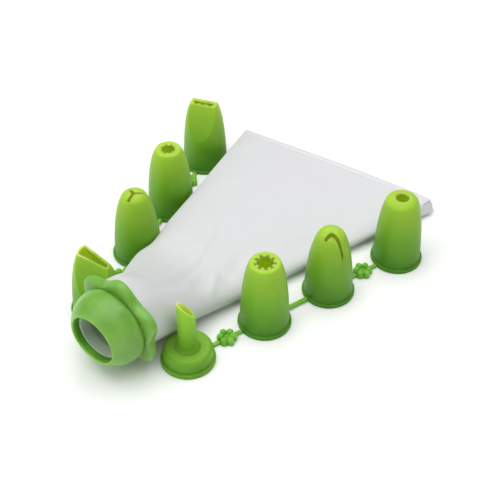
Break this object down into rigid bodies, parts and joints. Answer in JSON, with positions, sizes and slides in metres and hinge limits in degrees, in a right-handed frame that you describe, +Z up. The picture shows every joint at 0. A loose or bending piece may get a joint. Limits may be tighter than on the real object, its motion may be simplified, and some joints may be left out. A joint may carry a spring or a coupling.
{
  "type": "piping bag set",
  "caption": "Icing piping bag with a screw collar and inner coupler on its neck, with strips of plastic piping nozzles of different tip shapes beside it.",
  "frame": {"origin": "centre of the collar's mouth, on the bag's axis", "axes": "+X runs from the collar's mouth along the bag to its open end, +Z is up, +Y is towards the far strip of nozzles"},
  "size_m": [0.2385, 0.1871, 0.0585],
  "materials": {
    "bag_film": "translucent satin film",
    "natural_plastic": "natural translucent moulded plastic",
    "collar_plastic": "satin moulded green plastic",
    "nozzle_plastic": "satin moulded green plastic",
    "link_plastic": "satin moulded green plastic"
  },
  "bodies": {
    "bag": {"bag": "bag_film", "near_front_flower": "link_plastic", "near_rod": "link_plastic", "near_back_flower": "link_plastic", "far_front_flower": "link_plastic", "far_rod": "link_plastic", "far_back_flower": "link_plastic"},
    "collar": {"collar": "collar_plastic"},
    "coupler": {"coupler": "natural_plastic"},
    "filler_nozzle": {"filler_nozzle": "nozzle_plastic"},
    "open_star_nozzle": {"open_star_nozzle": "nozzle_plastic"},
    "leaf_nozzle": {"leaf_nozzle": "nozzle_plastic"},
    "round_nozzle": {"round_nozzle": "nozzle_plastic"},
    "petal_nozzle": {"petal_nozzle": "nozzle_plastic"},
    "three_leg_nozzle": {"three_leg_nozzle": "nozzle_plastic"},
    "pointed_star_nozzle": {"pointed_star_nozzle": "nozzle_plastic"},
    "basket_nozzle": {"basket_nozzle": "nozzle_plastic"}
  },
  "joints": [
    {"name": "collar_turn", "type": "hinge", "parent": "bag", "child": "collar", "pos_m": [0, 0, 0], "axis": [-1, 0, 0], "range_deg": [0, 360]},
    {"name": "coupler_back", "type": "slide", "parent": "bag", "child": "coupler", "axis": [1, 0, 0], "range_m": [0, 0.006]},
    {"name": "filler_lift", "type": "slide", "parent": "bag", "child": "filler_nozzle", "axis": [-0.2044, -0.6769, 0.7071], "range_m": [0, 0.06]},
    {"name": "open_star_lift", "type": "slide", "parent": "bag", "child": "open_star_nozzle", "axis": [0, 0, 1], "range_m": [0, 0.06]},
    {"name": "leaf_lift", "type": "slide", "parent": "bag", "child": "leaf_nozzle", "axis": [0, 0, 1], "range_m": [0, 0.06]},
    {"name": "round_lift", "type": "slide", "parent": "bag", "child": "round_nozzle", "axis": [0, 0, 1], "range_m": [0, 0.06]},
    {"name": "petal_lift", "type": "slide", "parent": "bag", "child": "petal_nozzle", "axis": [-0.1949, 0.6797, 0.7071], "range_m": [0, 0.06]},
    {"name": "three_leg_lift", "type": "slide", "parent": "bag", "child": "three_leg_nozzle", "axis": [-0.1949, 0.6797, 0.7071], "range_m": [0, 0.06]},
    {"name": "pointed_star_lift", "type": "slide", "parent": "bag", "child": "pointed_star_nozzle", "axis": [0, 0, 1], "range_m": [0, 0.06]},
    {"name": "basket_lift", "type": "slide", "parent": "bag", "child": "basket_nozzle", "axis": [0, 0, 1], "range_m": [0, 0.06]}
  ],
  "couplings": [
    {"joint": "coupler_back", "follows": "collar_turn", "m_per_rad": 0.0009548}
  ]
}
